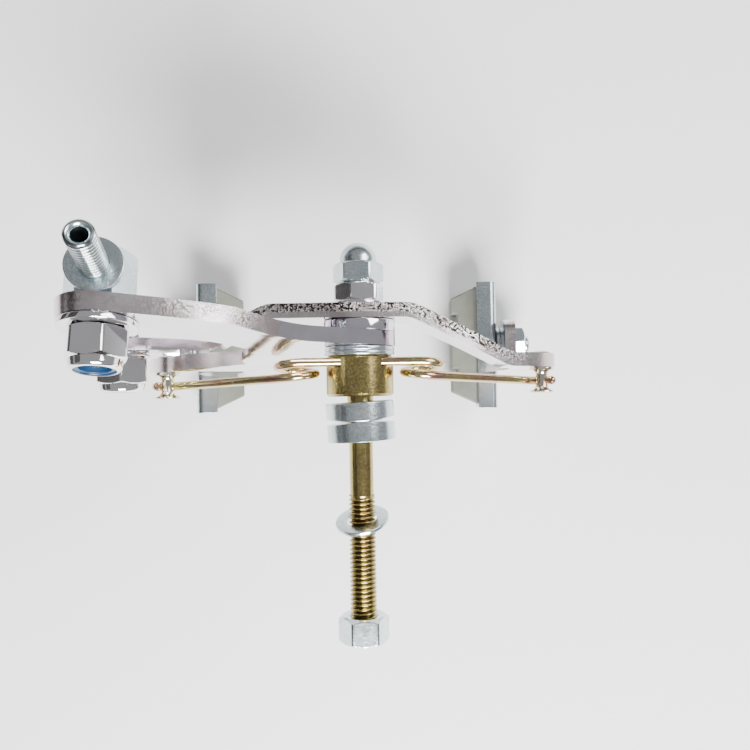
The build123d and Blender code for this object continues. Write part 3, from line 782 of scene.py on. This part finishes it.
def shoe(side):
    name = "left" if side < 0 else "right"
    title = name.title()
    pivot = joints["shoe_toe_" + name]
    at, out = Vector(pivot["pos_m"]), Vector(pivot["axis"])
    clamp, body = "shoe_clamp_" + name, "shoe_" + name
    outer = (shoes["plate"] / 2 + shoes["slip"]) * mm
    seat = place(at + out * outer, out, (0, 1, 0))
    nutCfg = dict(shoes["nut"], turn=cornerTurn("shoe_nut_" + name, seat))
    nut = meshPiece("shoeNut" + title, [(nutGrid(nutCfg), True)], seat, 24)
    settle(nut, clamp, metals["zinc"], "zinc", "shoe_nut_" + name)
    ring = washer("shoeWasher" + title, shoes["washerBore"], shoes["washerR"], shoes["washerT"],
                  place(at - out * (outer + shoes["washerT"] * mm), out, (0, 1, 0)), 0.2)
    settle(ring, clamp, metals["zinc"], "zinc", "shoe_washer_" + name)
    holder = copyOf("shoe_holder_" + name, "shoeHolder" + title, 0.3, 3)
    settle(holder, body, metals["zinc"], "zinc", "shoe_holder_" + name)
    stud = copyOf("shoe_stud_" + name, "shoeStud" + title, 0.25, 2)
    settle(stud, body, metals["zinc"], "zinc", "shoe_stud_" + name)
    pad = copyOf("brake_pad_" + name, "brakePad" + title, 0.5, 4)
    settle(pad, body, rubber, "rubber", "brake_pad_" + name)


shoe(-1)
shoe(1)
print("shoes made")


studio = {"floorDrop": 0.002, "floorSize": 3.0, "floorColor": (0.86, 0.855, 0.85), "floorRough": 0.9,
          "cardColor": (0.015, 0.013, 0.013), "cardRough": 0.8,
          "darkCards": (("leftBoard", (-0.50, 0.02, 0.02), (0.6, 0.16)),
                        ("leftHighBoard", (-0.42, 0.05, 0.25), (0.6, 0.20)),
                        ("frontBoard", (-0.05, 0.50, 0.10), (0.8, 0.14)),
                        ("rearBoard", (0.0, -0.48, 0.0), (0.9, 0.10))),
          "lights": (("keyRear", (0.08, -0.52, 0.50), (0.38, 0.26), 22.0, (1, 1, 1)),
                     ("sideFill", (0.45, 0.28, 0.50), (0.4, 0.4), 4.0, (0.98, 0.99, 1.0))),
          "world": (0.80, 0.81, 0.83), "worldStrength": 0.44}
camera = {"look": (0.0034, 0.0047, 0.0), "eye": (-0.0087, 0.0007, 0.1615), "roll": -0.9, "lens": 34.66}


# A matt rectangle facing its local Z, for the floor and the dark boards.
def flatPanel(name, size, at, color, roughness):
    w, h = size[0] / 2, size[1] / 2
    mesh = bpy.data.meshes.new(name)
    mesh.from_pydata([(-w, -h, 0), (w, -h, 0), (w, h, 0), (-w, h, 0)], [], [(0, 1, 2, 3)])
    mesh.transform(at)
    panel = bpy.data.objects.new(name, mesh)
    bpy.context.scene.collection.objects.link(panel)
    material = bpy.data.materials.new(name)
    material.use_nodes = True
    shader = material.node_tree.nodes["Principled BSDF"]
    shader.inputs["Base Color"].default_value = (*color, 1)
    shader.inputs["Roughness"].default_value = roughness
    mesh.materials.append(material)


# Placement at a point with one local axis aimed at the origin and local Y upwards.
def aimed(at, axis):
    return Matrix.Translation(at) @ (-Vector(at)).to_track_quat(axis, "Y").to_matrix().to_4x4()


def areaLight(name, at, size, power, color):
    data = bpy.data.lights.new(name, "AREA")
    data.shape = "RECTANGLE"
    data.size, data.size_y = size
    data.energy = power
    data.color = color
    lamp = bpy.data.objects.new(name, data)
    lamp.matrix_world = aimed(at, "-Z")
    bpy.context.scene.collection.objects.link(lamp)


def buildStudio():
    floorZ = cadBounds[0][2] - studio["floorDrop"]
    flatPanel("paleFloor", (studio["floorSize"],) * 2, Matrix.Translation((0, 0, floorZ)),
              studio["floorColor"], studio["floorRough"])
    world = bpy.data.worlds.new("studio")
    world.use_nodes = True
    back = world.node_tree.nodes["Background"]
    back.inputs["Color"].default_value = (*studio["world"], 1)
    back.inputs["Strength"].default_value = studio["worldStrength"]
    bpy.context.scene.world = world
    for light in studio["lights"]:
        areaLight(*light)
    for name, at, size in studio["darkCards"]:
        flatPanel(name, size, aimed(at, "Z"), studio["cardColor"], studio["cardRough"])


def buildCamera():
    data = bpy.data.cameras.new("camera")
    data.lens = camera["lens"]
    data.sensor_width = 36
    data.clip_start = 0.01
    eye = bpy.data.objects.new("camera", data)
    way = Vector(camera["eye"]) - Vector(camera["look"])
    axes = place(camera["eye"], way)
    eye.matrix_world = axes @ Matrix.Rotation(math.radians(camera["roll"]), 4, "Z")
    bpy.context.scene.collection.objects.link(eye)
    bpy.context.scene.camera = eye


buildStudio()
buildCamera()
print("studio made")
